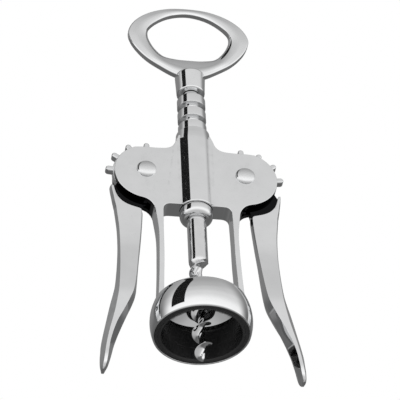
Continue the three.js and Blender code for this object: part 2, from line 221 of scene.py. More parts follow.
def rod(name, radius, low, high, segments, axis="Z", centre=(0, 0)):
    profile = [(0, low), (radius, low), (radius, high), (0, high)]
    return turned(name, profile, segments, axis=axis, centre=centre)


def bake(obj):
    """Applies an object's modifiers."""
    bpy.context.view_layer.update()
    graph = bpy.context.evaluated_depsgraph_get()
    mesh = bpy.data.meshes.new_from_object(obj.evaluated_get(graph), preserve_all_data_layers=True,
                                           depsgraph=graph)
    old = obj.data
    obj.modifiers.clear()
    obj.data = mesh
    bpy.data.meshes.remove(old)
    return obj


def combine(obj, others, operation):
    """Joins the others to an object or cuts them from it, and removes them."""
    for other in others:
        step = obj.modifiers.new("combine", "BOOLEAN")
        step.operation = operation
        step.solver = "EXACT"
        step.object = other
    bake(obj)
    for other in others:
        bpy.data.objects.remove(other)


def soften(obj, width, segments=3, angle=38):
    """Rounds every edge sharper than the angle."""
    step = obj.modifiers.new("soften", "BEVEL")
    step.width = width
    step.segments = segments
    step.limit_method = "ANGLE"
    step.angle_limit = math.radians(angle)
    step.use_clamp_overlap = True
    step.miter_outer = "MITER_ARC"
    return bake(obj)


def mirrored(points):
    """A right-hand half outline joined to its mirror image."""
    left = [Vector((-p[0], p[1])) for p in reversed(points) if p[0] > 1e-6]
    return list(points) + left


def flip(points, side):
    return [Vector((side * p[0], p[1])) for p in points]


# ---------------------------------------------------------------- materials


class Nodes:
    """A short way to write a node tree."""

    def __init__(self, name):
        self.material = bpy.data.materials.new(name)
        self.material.use_nodes = True
        self.tree = self.material.node_tree
        self.tree.nodes.clear()
        self.shader = self.add("ShaderNodeBsdfPrincipled")
        out = self.add("ShaderNodeOutputMaterial")
        self.link(self.shader.outputs[0], out.inputs["Surface"])
        self.place = self.add("ShaderNodeTexCoord").outputs["Object"]

    def add(self, kind, **settings):
        node = self.tree.nodes.new(kind)
        for key, value in settings.items():
            setattr(node, key, value)
        return node

    def link(self, a, b):
        self.tree.links.new(a, b)

    def stretched(self, scale):
        """Object coordinates multiplied along each axis."""
        node = self.add("ShaderNodeMapping")
        node.inputs["Scale"].default_value = scale
        self.link(self.place, node.inputs["Vector"])
        return node.outputs[0]

    def noise(self, scale, detail=3.0, roughness=0.5, where=None):
        node = self.add("ShaderNodeTexNoise")
        node.inputs["Scale"].default_value = scale
        node.inputs["Detail"].default_value = detail
        node.inputs["Roughness"].default_value = roughness
        self.link(where or self.place, node.inputs["Vector"])
        return node.outputs["Fac"]

    def spread(self, value, low, high, to_low=0.0, to_high=1.0):
        """Maps low..high to to_low..to_high."""
        node = self.add("ShaderNodeMapRange")
        for key, number in zip(("From Min", "From Max", "To Min", "To Max"), (low, high, to_low, to_high)):
            node.inputs[key].default_value = number
        self.link(value, node.inputs["Value"])
        return node.outputs[0]

    def maths(self, kind, a, b):
        node = self.add("ShaderNodeMath", operation=kind)
        for socket, value in zip(node.inputs, (a, b)):
            if isinstance(value, (int, float)):
                socket.default_value = value
            else:
                self.link(value, socket)
        return node.outputs[0]

    def mix(self, factor, a, b):
        node = self.add("ShaderNodeMix", data_type="RGBA")
        self.link(factor, node.inputs["Factor"])
        if isinstance(a, tuple):
            node.inputs["A"].default_value = (*a, 1)
        else:
            self.link(a, node.inputs["A"])
        node.inputs["B"].default_value = (*b, 1)
        return node.outputs["Result"]

    def bump(self, height, distance, strength):
        node = self.add("ShaderNodeBump")
        node.inputs["Distance"].default_value = distance
        node.inputs["Strength"].default_value = strength
        self.link(height, node.inputs["Height"])
        self.link(node.outputs[0], self.shader.inputs["Normal"])


# Near-black tone of the painted shade in slots and under the lobes.
RECESS_SHADE_TONE = (0.012, 0.012, 0.013)
EXPOSED = (0.53, 0.62)
SWELL_DEPTH = 0.00006
SWELL_STRENGTH = 0.10
GRAIN_DEPTH = 0.00002
GRAIN_STRENGTH = 0.25
PLASTIC_IOR = 1.5


def metal(name, bright, dull, rough, wear, hairline=(1, 1, 1)):
    """Plated metal: faint clouding, fine hairlines, a little wear on exposed edges, and painted shade in slots."""
    n = Nodes(name)
    n.shader.inputs["Metallic"].default_value = 1.0
    # Painted shade: a face attribute set by shade() mixes faces deep in slots towards the near-black tone.
    recess_shade = n.add("ShaderNodeAttribute", attribute_name="recess_shade").outputs["Fac"]
    cloud = n.noise(scale=130, detail=4.0, roughness=0.6)
    lines = n.noise(scale=900, detail=2.0, where=n.stretched(hairline))
    patches = n.spread(n.noise(scale=420), 0.42, 0.66)
    edge = n.spread(n.add("ShaderNodeNewGeometry").outputs["Pointiness"], *EXPOSED)
    worn = n.maths("MULTIPLY", edge, patches)
    chrome = n.mix(n.spread(n.maths("ADD", cloud, worn), 0.35, 1.1), bright, dull)
    n.link(n.mix(recess_shade, chrome, RECESS_SHADE_TONE), n.shader.inputs["Base Color"])
    base = n.spread(cloud, 0.3, 0.75, rough * 0.75, rough * 1.35)
    fine = n.spread(lines, 0.35, 0.75, 0.0, rough * 0.5)
    total = n.maths("ADD", n.maths("ADD", base, fine), n.maths("MULTIPLY", worn, wear))
    n.link(total, n.shader.inputs["Roughness"])
    swell = n.maths("MULTIPLY", n.noise(scale=38, detail=1.0, roughness=0.4), 4.0)
    n.bump(n.maths("ADD", swell, n.maths("MULTIPLY", lines, 0.05)), SWELL_DEPTH, SWELL_STRENGTH)
    return n.material


def plastic(name, dark, light):
    """Moulded black plastic: fine grain, faint flow marks and scuffs."""
    n = Nodes(name)
    grain = n.noise(scale=2600, detail=2.0, roughness=0.6)
    flow = n.noise(scale=95, roughness=0.6, where=n.stretched((1, 1, 0.35)))
    scratches = n.noise(scale=260, detail=5.0, roughness=0.7, where=n.stretched((1, 1, 6)))
    scuff = n.spread(scratches, 0.56, 0.72)
    tone = n.spread(n.maths("ADD", flow, scuff), 0.35, 1.3)
    n.link(n.mix(tone, dark, light), n.shader.inputs["Base Color"])
    rough = n.maths("ADD", n.spread(flow, 0.3, 0.7, 0.16, 0.27), n.maths("MULTIPLY", scuff, 0.12))
    n.link(rough, n.shader.inputs["Roughness"])
    n.shader.inputs["IOR"].default_value = PLASTIC_IOR
    n.bump(grain, GRAIN_DEPTH, GRAIN_STRENGTH)
    return n.material


BRIGHT, BRIGHT_DULL = (0.90, 0.905, 0.91), (0.80, 0.805, 0.81)
SOFT, SOFT_DULL = (0.86, 0.865, 0.87), (0.74, 0.745, 0.75)

CAST = metal("cast_chrome_look", BRIGHT, BRIGHT_DULL, rough=0.035, wear=0.12)
RING = metal("handle_chrome_look", BRIGHT, (0.79, 0.795, 0.80), rough=0.07, wear=0.12)
RIVET = metal("rivet_chrome_look", SOFT, SOFT_DULL, rough=0.12, wear=0.15)
COLLAR = metal("collar_chrome_look", SOFT, SOFT_DULL, rough=0.06, wear=0.15, hairline=(1, 1, 14))
STEEL = metal("worm_steel_look", (0.88, 0.88, 0.885), SOFT_DULL, rough=0.06, wear=0.12, hairline=(1, 1, 12))
BLACK = plastic("liner_black_look", (0.028, 0.028, 0.0285), (0.045, 0.045, 0.0455))


def shade(obj, depth):
    """Stores painted shade per face, 0 open to 1 hidden deep in a slot: faces where shade falls are painted dark."""
    layer = obj.data.attributes.new("recess_shade", "FLOAT", "FACE")
    for face in obj.data.polygons:
        layer.data[face.index].value = depth(face.center, face.normal)


def piece(obj, body, node, material, smooth_angle=32, flatten=100):
    """Finishes a visible piece: metres, smooth faces with flat ones kept flat, material, body and CAD node."""
    obj.data.transform(Matrix.Scale(MM, 4))
    bm = bmesh.new()
    bm.from_mesh(obj.data)
    bmesh.ops.dissolve_degenerate(bm, edges=bm.edges, dist=1e-8)
    bm.to_mesh(obj.data)
    bm.free()
    obj.data.shade_smooth()
    obj.data.set_sharp_from_angle(angle=math.radians(smooth_angle))
    step = obj.modifiers.new("flat faces", "WEIGHTED_NORMAL")
    step.keep_sharp = True
    step.weight = flatten
    bake(obj)
    obj.data.materials.clear()
    obj.data.materials.append(material)
    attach(obj, body)
    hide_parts(node)


# ---------------------------------------------------------------- driving dimensions

LEFT_BOX, RIGHT_BOX = cad_box("pivot_rivet_left"), cad_box("pivot_rivet_right")
PIVOT_X = (RIGHT_BOX[0].x + RIGHT_BOX[1].x) / 2
PIVOT_Z = (RIGHT_BOX[0].z + RIGHT_BOX[1].z) / 2
LEVER_BOX = cad_box("lever_right")
BODY_DEPTH = LEVER_BOX[1].y - LEVER_BOX[0].y
FACE_Y = BODY_DEPTH / 2
TUBE_BOTTOM = 61.4
TUBE_TOP = cad_box("body_frame")[1].z
TUBE_RADIUS = 7.1
TUBE_LIP_RADIUS = 6.75
TUBE_TAPER = 4.0
BORE_RADIUS = 6.35
SLOT_WIDTH = 3.9
SLOT_RADIUS = 16.7
LOBE_CENTRE = (19.0, 77.0)
LOBE_RADIUS = 13.6
RIVET_SHANK = 2.4
RIVET_HOLE = 2.6
SPINDLE_NECK = 2.4
SPINDLE_BORE = 2.65
ROUND = 128
OVERCUT = 1.0

# ---------------------------------------------------------------- bell and liner

BELL_RADIUS = cad_box("bell_shell")[1].x
BELL_CENTRE_Z = 6.0
BELL_STEPS = 26
SHOULDER_Z = 13.2
BELL_WALL = 1.6
RIM_WALL = 0.7
RIM_TOP = 0.4
ROOF = [(18.0, 14.3), (17.1, 15.05), (15.5, 15.8), (12, 17.2), (8.5, 18.4), (6.6, 18.95)]
GUIDE_TOP = [(6.1, 19.5), (5.8, 20.1), (5.2, 20.3), (4.75, 20.2), (4.45, 19.8)]
GUIDE_NOSE = [(4.35, 11.0), (4.5, 10.35), (4.9, 10.25), (5.35, 10.75), (5.65, 11.7), (5.78, 13.2), (5.8, 15.4)]
GUIDE_REACH = (5.95, 16.0)
CEILING = [(6.1, 16.5), (7.0, 17.15), (8.5, 16.85), (10.4, 16.25), (12.2, 15.55), (14.0, 14.7), (15.4, 13.9)]
INNER_HEIGHTS = (13.3, 12.4, 10.5, 8.5, 6.5, 4.5, 2.6)
# The rim's profile as distances in from the mouth's edge, and heights.
RIM = [(RIM_WALL, 1.3), (RIM_WALL, 0.12), (RIM_WALL - 0.12, 0.0), (0.22, 0.0), (0.06, 0.07)]
RIM_EDGE = 0.25


def ball_radius(z, inset=0.0):
    return math.sqrt((BELL_RADIUS - inset) ** 2 - (z - BELL_CENTRE_Z) ** 2)


def guide_shadow(at, facing):
    """Painted shade: the guide boss under the roof is painted dark."""
    return 0.85 if math.hypot(at.x, at.y) < GUIDE_REACH[0] and at.z < GUIDE_REACH[1] else 0.0


def build_bell():
    heights = [SHOULDER_Z * k / BELL_STEPS for k in range(1, BELL_STEPS + 1)]
    outer = [(ball_radius(z), z) for z in heights]
    crown = spline(outer[-2:] + ROOF, 5)[6:]
    guide = spline(GUIDE_TOP, 3)
    nose = spline(GUIDE_NOSE + CEILING, 4)
    inner = [(ball_radius(z, BELL_WALL), z) for z in INNER_HEIGHTS]
    lip = [(ball_radius(0) - inset, z) for inset, z in RIM] + [(ball_radius(RIM_EDGE) - 0.005, RIM_EDGE)]
    profile = [p for p in outer if p[1] > RIM_TOP] + crown + guide + nose + inner + lip
    shell = turned("bell", profile, 2 * ROUND, closed=True)
    shade(shell, guide_shadow)
    piece(shell, "frame", "bell_shell", CAST)


LINER_TOP = cad_box("bell_liner")[1].z
LINER_MOUTH = 15.5
LINER_LIP = 13.9
LINER_GAP = 0.12
LINER_HEIGHTS = (2.8, 4.5, 6.5, 8.5, 10.5, 12)
# The lower edge's profile as distances out from the mouth, and heights: a rounded lip with one fine groove.
LINER_EDGE = [(0, 2.6), (0, 0.55), (0.12, 0.22), (0.42, 0.04), (1.05, 0.0), (1.12, 0.1), (1.28, 0.1), (1.35, 0.0)]


def build_liner():
    rim = ball_radius(0) - RIM_WALL - LINER_GAP
    outer = [(ball_radius(z, BELL_WALL + LINER_GAP), z) for z in LINER_HEIGHTS]
    top = [(outer[-1][0] - 0.9, LINER_TOP), (LINER_LIP + 0.35, LINER_TOP), (LINER_LIP, LINER_TOP - 0.3)]
    wall = [(LINER_LIP, LINER_TOP - 1.1), (LINER_LIP + 0.25, LINER_TOP - 1.45), (14.9, 7.0), (15.2, 4.0)]
    edge = [(LINER_MOUTH + out, z) for out, z in LINER_EDGE]
    profile = [(rim, 0.1), (rim, 1.3)] + outer + top + wall + edge + [(rim - 0.1, 0.0)]
    liner = turned("bell_liner_moulding", profile, 2 * ROUND, closed=True)
    piece(liner, "frame", "bell_liner", BLACK)


# ---------------------------------------------------------------- body casting

PLATE_TOP = [(6.4, 97.6), (7.3, 95.2), (8.5, 92.3), (10.6, 90.5), (14.5, 89.9), (20.5, 89.9)]
PLATE_MIDDLE_TOP = 96.5
STRAP_OUTER = [(16.9, 58.5), (15.8, 48), (15.9, 36), (16.3, 25), (17.0, 13)]
STRAP_INNER = [(14.7, 13), (14.3, 25), (13.9, 36), (13.8, 48), (13.6, 58.2)]
LOBE_TO_STRAP = (17.9, 63.0)
CASTING_ROUND = 0.45
FILLET_REACH = 1.5
FILLET_START = math.radians(16)
FILLET_DEPTH = 0.6
FILLET_TOP = 95.4
FLARE = 0.3


def body_outline():
    lobe = arc(LOBE_CENTRE, LOBE_RADIUS, 68, -76, 72)
    edge = spline(PLATE_TOP + [tuple(lobe[0])], 8)[:-1]
    outer = spline(STRAP_OUTER, 10)
    inner = spline(STRAP_INNER, 10)
    half = [Vector((0, PLATE_MIDDLE_TOP))] + edge + lobe
    half += bend(lobe[-1], LOBE_TO_STRAP, outer[0], 8) + outer[1:]
    half += inner + bend(inner[-1], (13.5, TUBE_BOTTOM), (10.4, TUBE_BOTTOM), 8) + [Vector((0, TUBE_BOTTOM))]
    return mirrored(half)


def fillet(side, front):
    """The concave web that blends the guide tube into a plate."""
    contact = math.asin(FACE_Y / TUBE_RADIUS)
    start = contact + FILLET_START
    on_tube = Vector((TUBE_RADIUS * math.cos(start), TUBE_RADIUS * math.sin(start)))
    root = Vector((TUBE_RADIUS * math.cos(contact), FACE_Y))
    on_plate = Vector((root.x + FILLET_REACH, FACE_Y))
    section = [on_tube] + bend(on_tube, root + Vector((0.15, 0.15)), on_plate, 8)
    section += [Vector((on_plate.x, FACE_Y - FILLET_DEPTH)), Vector((on_tube.x - FILLET_DEPTH, FACE_Y - FILLET_DEPTH))]
    section.append(on_tube * 0.93)
    return skin("fillet", [[(side * p.x, front * p.y, z) for p in section] for z in (TUBE_BOTTOM + 0.35, FILLET_TOP)])


def guide_tube():
    profile = [(0, TUBE_BOTTOM), (TUBE_RADIUS, TUBE_BOTTOM), (TUBE_RADIUS, TUBE_TOP - TUBE_TAPER),
               (TUBE_LIP_RADIUS, TUBE_TOP - 0.3), (TUBE_LIP_RADIUS, TUBE_TOP), (0, TUBE_TOP)]
    return turned("tube", rounded(profile, {1: 0.6, 2: 2.0, 4: 0.35}, 5), ROUND)


def rivet_hole(side):
    return rod("hole", RIVET_HOLE, -FACE_Y - OVERCUT, FACE_Y + OVERCUT, 48, "Y", (side * PIVOT_X, PIVOT_Z))


def body_cutters():
    """The tube's bore, a slot and a rivet hole on each side, the bore's flared ends, and the bell's envelope."""
    cutters = [rod("bore", BORE_RADIUS, TUBE_BOTTOM - OVERCUT, TUBE_TOP + OVERCUT, ROUND)]
    for side in (-1, 1):
        centre = (side * PIVOT_X, PIVOT_Z)
        cutters.append(rod("slot", SLOT_RADIUS, -SLOT_WIDTH / 2, SLOT_WIDTH / 2, ROUND, "Y", centre))
        cutters.append(rivet_hole(side))
    for z, way in ((TUBE_BOTTOM, -1), (TUBE_TOP, 1)):
        profile = [(0, z - way * FLARE), (BORE_RADIUS - 0.02, z - way * FLARE),
                   (BORE_RADIUS + FLARE, z + way * 0.02), (0, z + way * 0.02)]
        cutters.append(turned("flare", profile, ROUND))
    envelope = [(0, 0)] + [(ball_radius(SHOULDER_Z * k / 8), SHOULDER_Z * k / 8) for k in range(9)]
    envelope += ROOF + [(0, ROOF[-1][1])]
    cutters.append(turned("envelope", envelope, ROUND))
    return cutters


def body_shadow(at, facing):
    """Painted shade: dark inside the slots and under the lobes, where they face the levers' shoulders."""
    from_pivot = math.hypot(abs(at.x) - PIVOT_X, at.z - PIVOT_Z)
    if abs(at.y) < SLOT_WIDTH * 0.51 and from_pivot < SLOT_RADIUS + 0.1 and abs(at.x) > BORE_RADIUS:
        return 1.0
    from_lobe = Vector((abs(at.x) - LOBE_CENTRE[0], at.z - LOBE_CENTRE[1]))
    on_lobe = abs(from_lobe.length - LOBE_RADIUS) < 0.5
    on_strap_root = from_lobe.y < 0 and at.z > 60 and abs(at.x) > 15.5
    faces_down = abs(facing.y) < 0.3 and facing.z < 0.25 and from_lobe.y < -1.5
    return 0.97 if (on_lobe or on_strap_root) and faces_down else 0.0


def build_body():
    casting = soften(prism("body_casting", body_outline(), BODY_DEPTH), CASTING_ROUND, 4)
    combine(casting, [guide_tube()] + [fillet(s, f) for s in (-1, 1) for f in (-1, 1)], "UNION")
    combine(casting, body_cutters(), "DIFFERENCE")
    shade(casting, body_shadow)
    piece(casting, "frame", "body_frame", CAST)


# ---------------------------------------------------------------- rivets

RIVET_CLEARANCE = 0.06
RIVET_EDGE = 0.22
RIVET_TAIL = 3.35


def build_rivet(name, node, side, box):
    """A shank with a domed head in front and a low upset head behind."""
    front, back = box[0].y, box[1].y
    radius = (box[1].x - box[0].x) / 2
    face = -FACE_Y - RIVET_CLEARANCE
    dome = face - front
    tail = FACE_Y + 0.05
    cap = [(radius * math.sin(a), face - RIVET_EDGE - (dome - RIVET_EDGE) * math.cos(a))
           for a in (math.radians(90 * k / 14) for k in range(15))]
    shank = [(radius, face - 0.1), (radius - 0.12, face), (RIVET_SHANK, face), (RIVET_SHANK, tail)]
    upset = rounded([(RIVET_SHANK, tail), (RIVET_TAIL, tail), (RIVET_TAIL - 0.4, back - 0.05), (0, back - 0.12)],
                    {1: 0.2, 2: 0.45})
    rivet = turned(name, cap + shank + upset[1:], 64, axis="Y", centre=(side * PIVOT_X, PIVOT_Z))
    piece(rivet, "frame", node, RIVET)


# ---------------------------------------------------------------- levers

GEAR_RADIUS = 13.2
GEAR_THICKNESS = 3.2
TOOTH_STEP = math.degrees(7.1 / 14.0)
TOOTH_COUNT = 7
TOOTH_RADIUS = 1.15
TOOTH_CENTRE = 14.85
# Level sections of the arm from the finger tip up, right-hand side: height, inner flank, inner ridge,
# outer ridge, outer flank, and half the depth at the ridges.
FINGER = [
    (-20.0, 37.9, 38.1, 38.6, 38.8, 1.4), (-19.75, 37.5, 37.85, 38.6, 39.0, 2.1),
    (-19.3, 37.2, 37.6, 38.6, 39.15, 2.6), (-17.6, 36.4, 37.1, 38.3, 39.37, 3.5),
    (-14.5, 35.5, 36.6, 37.9, 39.37, 4.0), (-11.5, 34.75, 36.2, 37.5, 39.15, 4.0),
    (-8, 33.95, 35.65, 36.95, 38.85, 4.0), (-3, 32.4, 34.35, 35.95, 38.0, 4.0),
    (2, 30.6, 32.65, 34.75, 37.0, 4.0), (7, 28.7, 30.3, 33.6, 36.0, 4.0),
    (12, 26.7, 28.1, 32.7, 34.95, 4.0), (16.5, 25.25, 26.4, 32.0, 33.9, 4.0),
    (21, 24.65, 25.5, 31.6, 33.0, 3.8), (27, 24.1, 24.75, 31.25, 32.35, 3.4),
    (34, 23.45, 24.05, 31.0, 31.85, 2.9), (41, 22.7, 23.35, 30.9, 31.6, 2.5),
    (49, 22.0, 22.6, 31.1, 31.75, 2.4), (56, 21.5, 22.1, 31.75, 32.35, 2.4),
    (58.4, 21.5, 22.1, 31.95, 32.6, 2.4),
]
SHOULDER = [
    (59.1, 22.0, 22.7, 32.0, 32.65, 2.4), (59.6, 23.5, 24.1, 32.1, 32.75, 2.4),
    (60.1, 25.2, 25.7, 32.2, 32.85, 2.4), (60.8, 27.0, 27.4, 32.3, 32.95, 2.4),
    (61.7, 28.5, 28.9, 32.5, 33.1, 2.4), (62.9, 29.9, 30.2, 32.7, 33.3, 2.4),
    (64.4, 30.95, 31.25, 32.9, 33.5, 2.4), (66.1, 31.75, 32.0, 33.2, 33.75, 2.4),
    (67.9, 32.3, 32.5, 33.5, 34.0, 2.4), (69.7, 32.65, 32.85, 33.75, 34.15, 2.4),
    (70.3, 32.9, 33.1, 33.85, 34.2, 2.3), (70.5, 33.2, 33.3, 33.7, 33.9, 1.9),
]
FLANK_LAND = 0.5
WEB = [(20.3, 66.2), (22.4, 56.5), (27, 52), (32.6, 62), (33.2, 68.6), (30.3, 74.2)]


def build_arm(name, side):
    """The bar, with flat ridges front and back and sides that slope out to a rounded flank at mid depth."""
    sections = []
    for z, inner_flank, inner_ridge, outer_ridge, outer_flank, half in spline(FINGER + SHOULDER, 6):
        corners = [(inner_flank, -FLANK_LAND), (inner_ridge, -half), (outer_ridge, -half),
                   (outer_flank, -FLANK_LAND), (outer_flank, FLANK_LAND), (outer_ridge, half),
                   (inner_ridge, half), (inner_flank, FLANK_LAND)]
        sections.append([(side * x, y, z) for x, y in corners])
    return soften(skin(name, sections), 0.3, 3, 50)


def sector(side):
    half = GEAR_THICKNESS / 2
    profile = rounded([(0, -half), (GEAR_RADIUS, -half), (GEAR_RADIUS, half), (0, half)], {1: 0.3, 2: 0.3}, 3)
    return turned("gear", profile, ROUND, axis="Y", centre=(side * PIVOT_X, PIVOT_Z))


def tooth(side, angle):
    """A round-ended knob, pointing away from the pivot; its crown is slightly domed across the sector."""
    root = GEAR_RADIUS - 2
    outline = [(root, -TOOTH_RADIUS)] + [tuple(p) for p in arc((TOOTH_CENTRE, 0), TOOTH_RADIUS, -90, 90, 16)]
    outline.append((root, TOOTH_RADIUS))
    turn = Matrix.Rotation(math.radians(180 - angle if side > 0 else angle), 2)
    placed = [turn @ Vector(p) + Vector((side * PIVOT_X, PIVOT_Z)) for p in outline]
    return soften(prism("tooth", placed, GEAR_THICKNESS - 0.04), 0.5, 4)


def web_shadow(at, facing):
    """Painted shade: the web between the arm and its sector lies in the slot's shadow and is painted dark."""
    on_web = abs(at.y) < GEAR_THICKNESS * 0.52 and abs(facing.y) > 0.5
    return 1.0 if on_web and at.z < PIVOT_Z - 5 and abs(at.x) > PIVOT_X - 4 else 0.0


def build_lever(name, body, node, side):
    lever = build_arm(name, side)
    web = prism("neck", flip(WEB, side), GEAR_THICKNESS - 0.02)
    teeth = [tooth(side, i * TOOTH_STEP) for i in range(TOOTH_COUNT)]
    combine(lever, [sector(side), web] + teeth, "UNION")
    combine(lever, [rivet_hole(side)], "DIFFERENCE")
    shade(lever, web_shadow)
    piece(lever, body, node, CAST, 40, 50)


# ---------------------------------------------------------------- rack, collar, spindle

RACK_BOX = cad_box("rack_sleeve")
RACK_PITCH = 7.1
RACK_OUTER = RACK_BOX[1].x
RACK_ROOT = 3.3
GROOVE_FLOOR, GROOVE_WALL, GROOVE_EDGE = 1.05, 1.3, 1.45
# Half a groove's profile, from the ring's face in to the middle of its floor: radius, and height from the middle.
GROOVE = [
    (RACK_OUTER, -GROOVE_EDGE - 0.2), (RACK_OUTER - 0.07, -GROOVE_EDGE), (RACK_OUTER - 0.25, -GROOVE_WALL - 0.04),
    (RACK_OUTER - 0.55, -GROOVE_WALL), (RACK_ROOT + 0.5, -GROOVE_FLOOR - 0.12),
    (RACK_ROOT + 0.12, -GROOVE_FLOOR + 0.12), (RACK_ROOT, -GROOVE_FLOOR + 0.45),
]


def build_rack():
    """A sleeve of rings one pitch apart; one groove is level with the pivots and the last is left open above."""
    low, high = RACK_BOX[0].z, RACK_BOX[1].z
    profile = [(SPINDLE_BORE, low), (RACK_OUTER - 0.5, low), (RACK_OUTER, low + 0.5)]
    first = -math.floor((PIVOT_Z - low - 2.0) / RACK_PITCH)
    last = math.floor((high - PIVOT_Z) / RACK_PITCH)
    for i in range(first, last + 1):
        middle = PIVOT_Z + i * RACK_PITCH
        profile += [(radius, middle + height) for radius, height in GROOVE]
        if i < last:
            profile += [(radius, middle - height) for radius, height in reversed(GROOVE)]
    profile += [(RACK_ROOT, high), (SPINDLE_BORE, high)]
    rack = turned("ringed_rack", profile, ROUND, closed=True)
    piece(rack, "spindle", "rack_sleeve", CAST)


COLLAR_BOX = cad_box("stop_collar")
ROD_RADIUS = 3.85
# The collar's lower round: radius, and height above its underside.
COLLAR_ROUND = [(4.85, 0), (5.35, 0.1), (5.8, 0.38), (6.2, 0.85), (6.45, 1.4), (6.6, 2.0)]
# Its upper edge: distance in from the rim, and distance below the top.
COLLAR_EDGE = [(0, 0.5), (0.06, 0.25), (0.2, 0.08), (0.4, 0)]


def build_collar():
    low, high, radius = COLLAR_BOX[0].z, COLLAR_BOX[1].z, COLLAR_BOX[1].x
    seat = ROD_RADIUS + 0.25
    profile = [(SPINDLE_BORE, low + 0.25), (seat, low + 0.25), (seat, low + 0.05), (seat + 0.15, low)]
    profile += [(r, low + h) for r, h in COLLAR_ROUND] + [(radius, low + 2.6)]
    profile += [(radius - inset, high - drop) for inset, drop in COLLAR_EDGE] + [(SPINDLE_BORE, high)]
    collar = turned("stop_ring", profile, ROUND, closed=True)
    piece(collar, "slide", "stop_collar", COLLAR)


ROD_BOTTOM = 33.6
ROD_TIP = [(0, -0.9), (1.6, -0.7), (2.9, -0.1), (3.5, 0.7), (3.78, 1.6), (ROD_RADIUS, 2.8)]
SLOPE_LOW, SLOPE_HIGH = 31.0, 37.6
SPINDLE_BOX = cad_box("worm_spindle")
WORM_TIP = SPINDLE_BOX[0].z
WORM_PITCH = 9.8
WORM_RADIUS = 3.85
WORM_CORE = 1.15
WORM_BLADE = 0.25
WORM_WAIST = (1.9, 0.75)
WORM_FRONT_Z = 3.4
WORM_POINT = 5.0
WORM_TAPER = 0.35
WORM_STEPS = 260


def worm_section():
    """A round core with one blade whose edge is slightly rounded."""
    shoulder = (WORM_RADIUS - 0.25, WORM_BLADE)
    upper = [(WORM_RADIUS, 0.0), (WORM_RADIUS - 0.06, WORM_BLADE * 0.6), shoulder]
    upper += [tuple(p) for p in bend(shoulder, WORM_WAIST, (0, WORM_CORE), 9)]
    upper += [tuple(p) for p in bend((0, WORM_CORE), (-WORM_CORE, WORM_CORE), (-WORM_CORE, 0), 6)]
    return upper + [(x, -y) for x, y in reversed(upper[1:-1])]


def build_worm():
    """Right-handed: the blade faces the front at WORM_FRONT_Z, tapers to the tip and thickens into the rod."""
    section = worm_section()
    top = ROD_BOTTOM + 3.0
    sections = []
    for k in range(WORM_STEPS + 1):
        z = WORM_TIP + (top - WORM_TIP) * k / WORM_STEPS
        turn = 2 * math.pi * (z - WORM_FRONT_Z) / WORM_PITCH - math.pi / 2
        grow = 0.04 + 0.96 * min(1.0, (z - WORM_TIP) / WORM_POINT) ** WORM_TAPER
        thick = 1.0 + 0.75 * max(0.0, (z - ROD_BOTTOM + 4) / 7)
        scaled = [(x * grow, y * grow * thick) for x, y in section]
        sections.append([(x * math.cos(turn) - y * math.sin(turn), x * math.sin(turn) + y * math.cos(turn), z)
                         for x, y in scaled])
    return skin("worm", sections)


def build_spindle():
    shoulder = COLLAR_BOX[0].z + 0.2
    high = SPINDLE_BOX[1].z
    profile = [(radius, ROD_BOTTOM + height) for radius, height in ROD_TIP]
    profile += [(ROD_RADIUS, shoulder - 0.3), (ROD_RADIUS - 0.3, shoulder), (SPINDLE_NECK, shoulder),
                (SPINDLE_NECK, high - 0.5), (2.0, high), (0, high)]
    shaft = turned("spindle_rod", profile, 96)
    slope = prism("slope", [(-8, ROD_BOTTOM - 4), (8, ROD_BOTTOM - 4), (8, SLOPE_HIGH), (-8, SLOPE_LOW)], 16)
    combine(shaft, [slope], "DIFFERENCE")
    combine(shaft, [build_worm()], "UNION")
    piece(shaft, "spindle", "worm_spindle", STEEL, 36)


# ---------------------------------------------------------------- handle

RING_OUTER = [(0, 170.2), (9.5, 169.2), (17.6, 165.6), (22.8, 160.6), (25.1, 155), (24.2, 150.4), (21.6, 145.6),
              (17.6, 140.9), (12.4, 136.9), (6.2, 133.1), (0, 131.4)]
RING_HOLE = [(0, 167.3), (7.4, 165.7), (13, 162), (16.4, 157.8), (16.9, 154.6), (15.9, 150.8), (13.6, 146.6),
             (10.6, 143.6), (5.6, 142.4), (0, 142.2)]
RING_BEVEL = [(0, 167.0), (7.4, 165.5), (13, 162), (16.9, 157.8), (18.1, 153.6), (17.2, 149.3), (14.7, 144.4),
              (11.6, 140.9), (6.6, 138.2), (0, 136.9)]
RING_CENTRE = Vector((0, 153.5))
RING_SAMPLES = 240
RING_HALF = 1.8
BACK_ROUND = 1.25
FRONT_ROUND = 0.7
FRONT_DROP = 0.3
# Across the front face from the outer round to the ledge: share of the band's width, and how far it drops back.
FACE_SWELL = [(0.3, 0.16), (0.42, 0.06), (0.55, 0.0), (0.7, 0.03), (0.85, 0.14), (0.95, 0.28)]
# Across the sloped ledge to the hole: share of its width, and Y.
LEDGE = [(0.0, -1.44), (0.25, -1.18), (0.6, -0.75), (0.9, -0.3), (1.0, 0.0), (1.0, 0.35)]
# Round the hole's back edge: distance out from the hole, and Y.
HOLE_BACK = [(0.12, 0.85), (0.45, 1.4), (0.9, RING_HALF)]
BOSS = [(0, 122.8), (5.1, 122.8), (5.45, 122.9), (5.68, 123.15), (5.76, 123.6), (5.95, 128), (6.15, 132.0),
        (6.12, 132.35), (5.95, 132.7), (5.6, 133.0), (4.6, 133.5), (3.4, 134.3), (2.2, 135.2), (1.0, 135.6),
        (0, 135.7)]
BOSS_BORE = (121, 129.8)
QUARTER = [math.radians(90 * k / 4) for k in range(5)]


